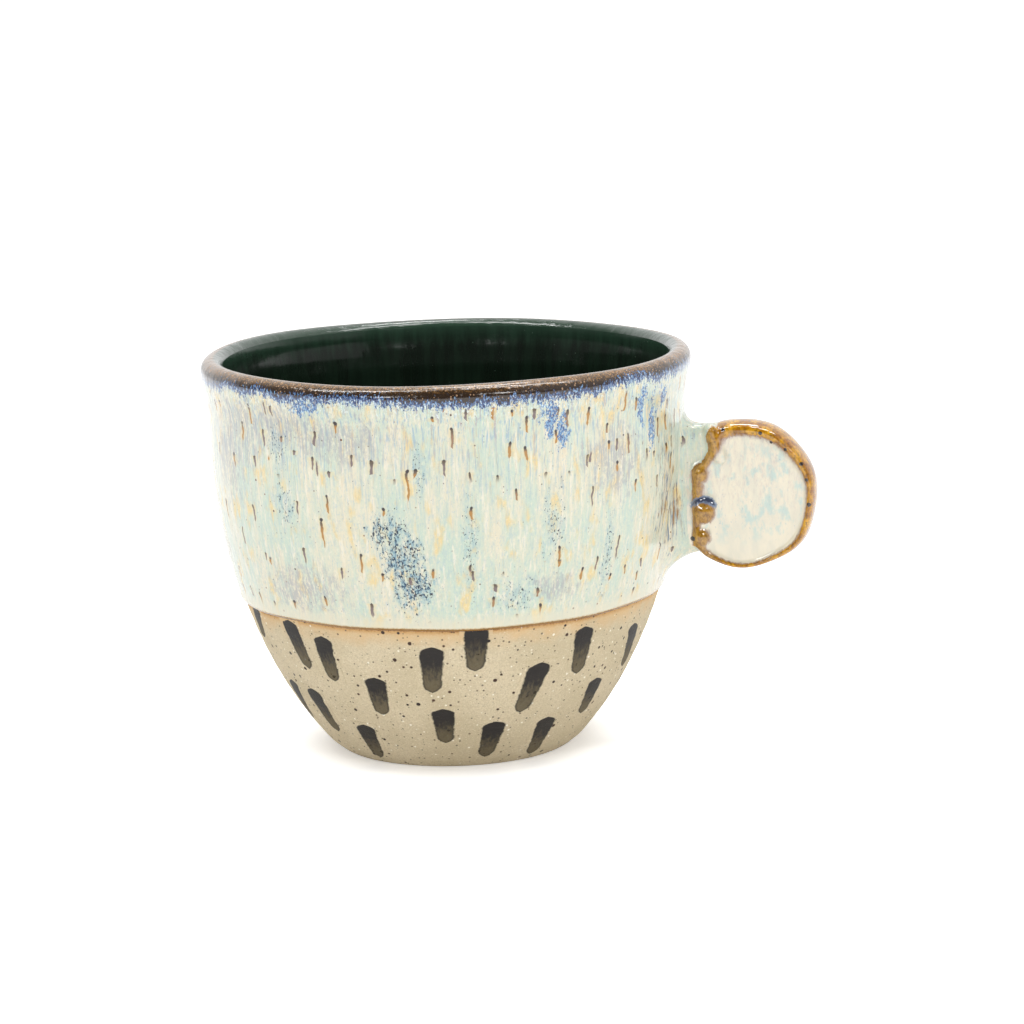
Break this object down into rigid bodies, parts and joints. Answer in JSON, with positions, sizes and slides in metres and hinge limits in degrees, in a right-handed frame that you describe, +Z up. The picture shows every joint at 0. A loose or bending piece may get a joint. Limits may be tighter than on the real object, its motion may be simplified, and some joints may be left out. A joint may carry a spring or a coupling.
{
  "type": "mug",
  "caption": "Thrown stoneware mug with a solid round pinch disc for a handle, flowing pale glaze over bare speckled clay, dark green inside.",
  "frame": {"origin": "middle of the foot, on the surface the mug stands on", "axes": "+Z up along the bowl's axis, +X from the bowl's axis through the disc handle"},
  "size_m": [0.126, 0.1, 0.082],
  "materials": {
    "stoneware": "bare fired stoneware, buff with iron specks",
    "slip": "fired joining slip",
    "liner_glaze": "glossy dark green glaze",
    "rim_glaze": "glossy iron brown glaze with blue fringe",
    "wall_glaze": "glossy flowing cream, aqua and blue glaze",
    "amber_glaze": "glossy amber glaze",
    "disc_glaze": "glossy cream glaze with soft blue streaks",
    "oxide": "satin iron oxide wash"
  },
  "bodies": {
    "root": {"clay_body": "stoneware", "handle_neck": "stoneware", "handle_disc": "stoneware", "neck_slip": "slip", "disc_slip": "slip", "liner_glaze": "liner_glaze", "rim_glaze": "rim_glaze", "wall_glaze": "wall_glaze", "neck_glaze": "wall_glaze", "disc_edge_glaze": "amber_glaze", "disc_front_glaze": "disc_glaze", "disc_back_glaze": "disc_glaze", "brush_marks": "oxide"}
  },
  "joints": []
}
